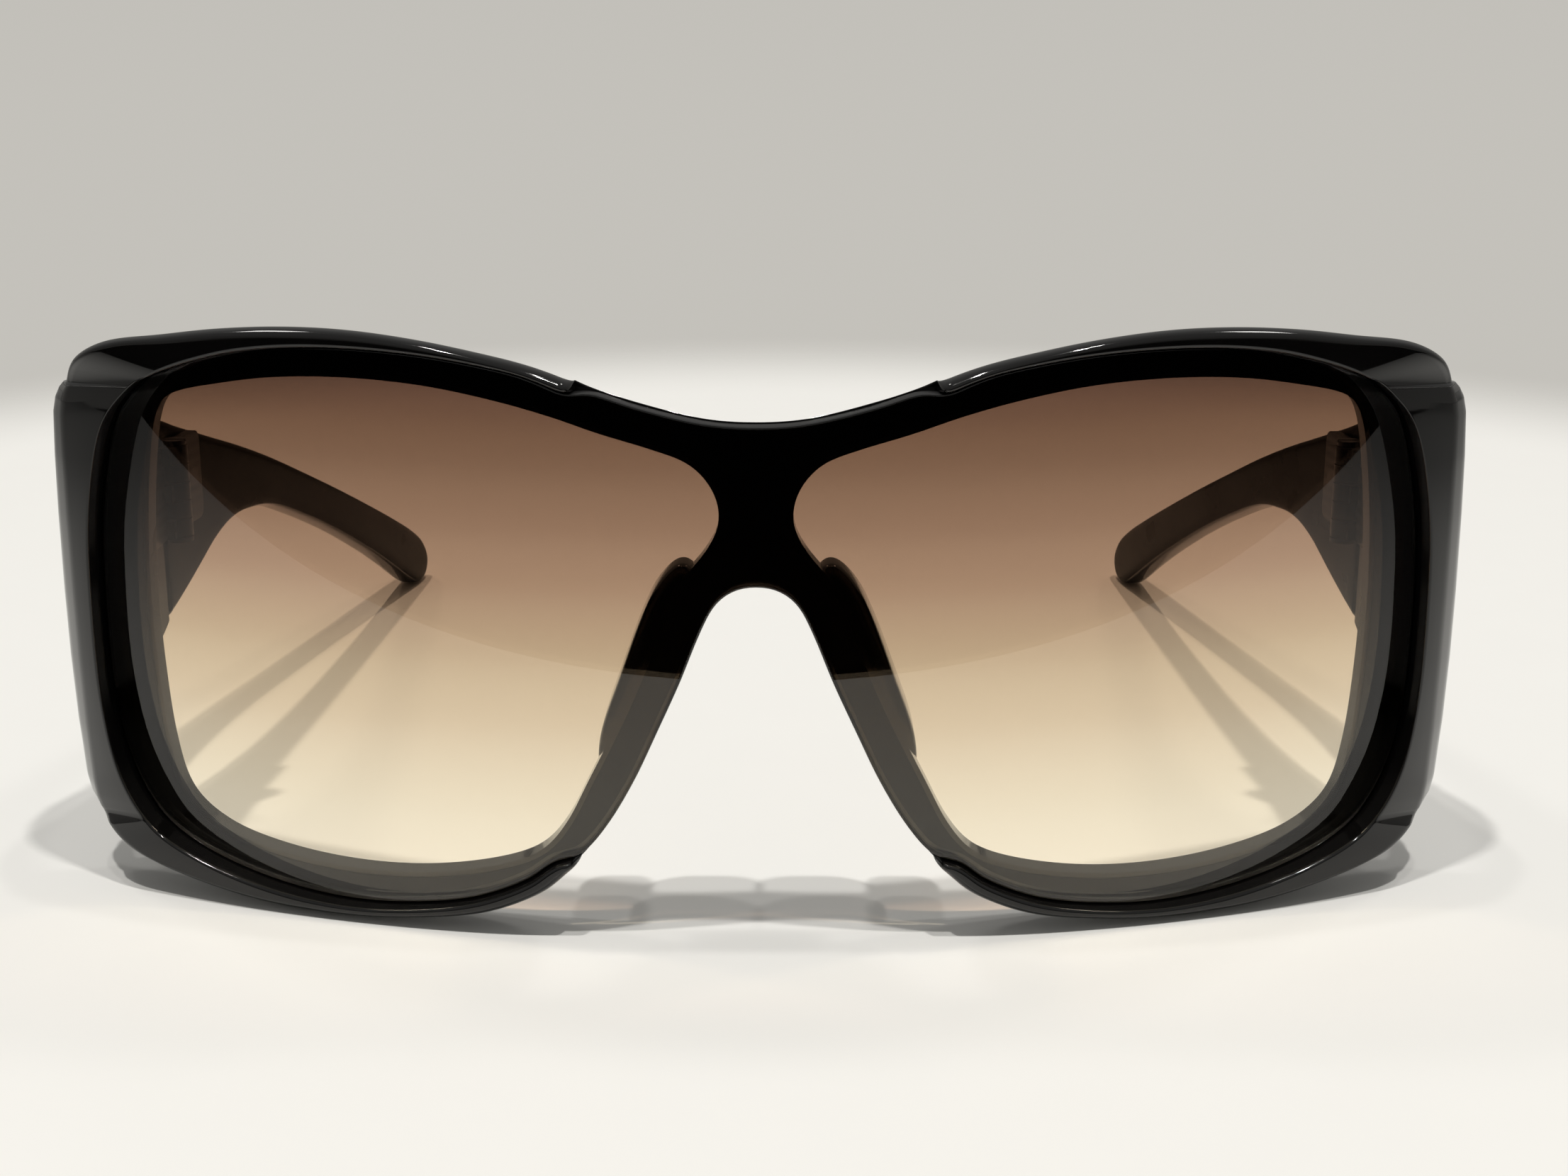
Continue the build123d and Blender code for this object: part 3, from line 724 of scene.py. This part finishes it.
# Acrylic foam tape, die-cut: a dull black that mirrors nothing, with a foam grain of about 1 mm
foam_grain = 1.11 * MM
tape, tree, shader = new_material("acrylic_tape_die_cut")
place = add_node(tree, "ShaderNodeTexCoord").outputs["Object"]
foam = add_node(tree, "ShaderNodeTexNoise", inputs={"Vector": place, "Scale": 1 / foam_grain})
shade = add_node(tree, "ShaderNodeMix", {"data_type": "RGBA"}, {
    0: foam.outputs["Fac"], 6: linear("040404"), 7: linear("080808")})
tree.links.new(shade.outputs[2], shader.inputs["Base Color"])
shader.inputs["Roughness"].default_value = 0.7
shader.inputs["Specular IOR Level"].default_value = 0.05
strip.data.materials.append(tape)

# Nose pads: two blades of the same black plastic, moulded with the front and domed where they bear
# on the nose. They stand behind the seat, on both sides of the cut-out.
pad_points = [(5.3, 33.6), (7.9, 26.8), (10.1, 21.4), (12.8, 16.5), (15.2, 15.0), (15.3, 19.2),
              (13.3, 25.2), (11.2, 31.0), (9.3, 35.0), (6.8, 37.2)]
pad_reach = 12.2
pad_middle_z = 25.5
pad_dome = 0.03
pad_edge = 1.0
pad_root = 0.3


def pad_foot(at):
    """Depth of the pad's foot, sunk a little into the back of the seat."""
    return shell_depth(at[:, 0], seat_back_radius) - pad_root


def pad_crown(at):
    """Depth of the pad's bearing face, domed along its height."""
    return pad_reach - pad_dome * (at[:, 1] - pad_middle_z) ** 2


for hand, which in ((1, "left"), (-1, "right")):
    pad_loop = smooth_loop([(hand * x, z) for x, z in pad_points], 0.35)
    made, faces = slab([pad_loop], pad_foot, pad_crown, pad_edge, 0.8, 7)
    pad = to_mesh(f"nose_pad_blade_{which}", made[:, [0, 2, 1]], faces, 60.0)
    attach(pad, "front")
    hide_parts(f"nose_pad_{which}")
    pad.data.materials.append(frame_black)

# Temples: flat blades of the same black plastic, 3.6 to 6 mm thick, moulded over a steel core and
# polished. Each leaves the end piece at its full height and narrows in a long S to a rounded tip.
temple_points = [
    (25, 46.8), (34.3, 45.0), (37.5, 44.2), (41, 42.9), (50, 39.9), (60, 36.6), (70, 33.0), (82, 28.3),
    (95, 23.1), (109, 17.3), (120, 12.6), (127.5, 9.2), (132.4, 6.4), (134.8, 3.2), (133.4, 0.5),
    (130.4, 0.1), (127, 1.3), (117.2, 6.4), (107.7, 11.1), (93.5, 17.6), (81, 22.8), (69.5, 27.0),
    (61, 28.6), (55, 28.8), (49.5, 27.8), (44.5, 26.0), (39.5, 24.2), (34.3, 22.6), (25, 20.6)]
temple_start = 34.3
joint_face = 34.15
arm_slope = math.tan(math.radians(6.3))
arm_edge = 1.1
# Half width over the outer faces at depths from the joint to the tip
arm_depths = [34.3, 38, 44, 52, 60, 78, 97, 134.8]
arm_outer_x = [70.1, 69.1, 67.8, 66.6, 65.6, 63.3, 61.0, 56.9]


def straight_joint(points, at, spacing):
    """The smooth loop, with what lies in front of the joint cut off square."""
    line = smooth_loop(points, spacing)
    chamfer = 0.3
    behind = np.flatnonzero(line[:, 0] > at + chamfer)
    line = line[behind[0]:behind[-1] + 1]
    high, low = line[0, 1] - chamfer, line[-1, 1] + chamfer
    cut = np.linspace(low, high, int((high - low) / spacing))
    return np.vstack([line, np.column_stack([np.full(len(cut), at), cut])])


def arm_inner(at):
    """Half width over the inner face, which leans in towards the head."""
    return end_wall_x - (at[:, 0] - temple_start) * arm_slope


def arm_outer(at):
    """Half width over the outer face."""
    return np.interp(at[:, 0], arm_depths, arm_outer_x)


temple_loop = straight_joint(temple_points, joint_face, 0.6)
for hand, which in ((1, "left"), (-1, "right")):
    made, faces = slab([temple_loop], arm_inner, arm_outer, arm_edge, 1.6, 6)
    points = np.stack([hand * made[:, 2], made[:, 0], made[:, 1]], 1)
    temple = to_mesh(f"temple_blade_{which}", points, faces, 50.0)
    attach(temple, f"temple_{which}_arm")
    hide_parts(f"temple_{which}")
    temple.data.materials.append(frame_black)
    temple.data.materials.append(frame_satin)
    for face in temple.data.polygons:
        # The inner face
        if hand * face.normal.x < -0.6:
            face.material_index = 1

# Hinge leaves: five-barrel hinges of nickel silver, stamped, drawn along their length and lacquered
# black. Three barrels stand on the front's leaf and two on the temple's, and two small screws hold
# each leaf to its wall.


def finish_nodes(names, material):
    """Gives CAD nodes, named without their hand, one material on both hands."""
    for name in names:
        for which in ("left", "right"):
            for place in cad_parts[f"{name}_{which}"].material_slots:
                place.material = material


# Black lacquer over drawn metal: nearly black and half glossy, with soft drawing lines, 1.26 mm apart
# so that they show
line_spacing = 1.2566 * MM
lacquered, tree, shader = new_material("nickel_silver_lacquered")
place = add_node(tree, "ShaderNodeTexCoord").outputs["Object"]
# A wave of scale 1 turns through 20 radians in a unit
lines = add_node(tree, "ShaderNodeTexWave", {"bands_direction": "Z"}, {
    "Vector": place, "Scale": math.tau / 20 / line_spacing, "Distortion": 1.5, "Detail": 3.0})
shade = add_node(tree, "ShaderNodeMix", {"data_type": "RGBA"}, {
    0: lines.outputs["Fac"], 6: linear("0c0c0d"), 7: linear("161617")})
tree.links.new(shade.outputs[2], shader.inputs["Base Color"])
gloss = add_node(tree, "ShaderNodeMapRange", inputs={
    "Value": lines.outputs["Fac"], "To Min": 0.28, "To Max": 0.42})
tree.links.new(gloss.outputs["Result"], shader.inputs["Roughness"])
shader.inputs["Specular IOR Level"].default_value = 0.25
finish_nodes(("hinge_front_leaf", "hinge_temple_leaf"), lacquered)

# Screws: stainless steel, turned and blackened. One long screw goes down through all five barrels of
# a hinge, and two short ones hold each of its leaves. The bath leaves a dark grey metal with a fine
# grain, drawn 0.4 mm across so that it shows.
screw_grain = 0.4 * MM
blackened, tree, shader = new_material("stainless_steel_blackened")
place = add_node(tree, "ShaderNodeTexCoord").outputs["Object"]
grain = add_node(tree, "ShaderNodeTexNoise", inputs={
    "Vector": place, "Scale": 1 / screw_grain, "Detail": 3.0})
shade = add_node(tree, "ShaderNodeMix", {"data_type": "RGBA"}, {
    0: grain.outputs["Fac"], 6: linear("2c2c2e"), 7: linear("454548")})
tree.links.new(shade.outputs[2], shader.inputs["Base Color"])
shader.inputs["Metallic"].default_value = 1.0
shader.inputs["Roughness"].default_value = 0.35
finish_nodes(("hinge_screw", "front_leaf_screws", "temple_leaf_screws"), blackened)

# Collars: a ring turned from black nylon, pressed on the end of each hinge screw under the lowest
# barrel, so that the screw can't back out. Turning leaves a dull near-black with a soft mottle, drawn
# 0.33 mm across so that it shows.
turning_grain = 0.33 * MM
nylon, tree, shader = new_material("nylon_turned")
place = add_node(tree, "ShaderNodeTexCoord").outputs["Object"]
grain = add_node(tree, "ShaderNodeTexNoise", inputs={"Vector": place, "Scale": 1 / turning_grain})
shade = add_node(tree, "ShaderNodeMix", {"data_type": "RGBA"}, {
    0: grain.outputs["Fac"], 6: linear("101010"), 7: linear("191919")})
tree.links.new(shade.outputs[2], shader.inputs["Base Color"])
shader.inputs["Roughness"].default_value = 0.5
finish_nodes(("hinge_collar",), nylon)

# Cores: a flat blade of drawn steel moulded into each temple, hidden in the plastic, which lets an
# optician bend it to the head. It is a bright grey metal, and its gloss varies every 0.5 mm.
core_grain = 0.5 * MM
core_steel, tree, shader = new_material("steel_wire_drawn")
place = add_node(tree, "ShaderNodeTexCoord").outputs["Object"]
grain = add_node(tree, "ShaderNodeTexNoise", inputs={"Vector": place, "Scale": 1 / core_grain})
gloss = add_node(tree, "ShaderNodeMapRange", inputs={
    "Value": grain.outputs["Fac"], "To Min": 0.25, "To Max": 0.4})
tree.links.new(gloss.outputs["Result"], shader.inputs["Roughness"])
shader.inputs["Base Color"].default_value = linear("b9babd")
shader.inputs["Metallic"].default_value = 1.0
finish_nodes(("temple_core",), core_steel)
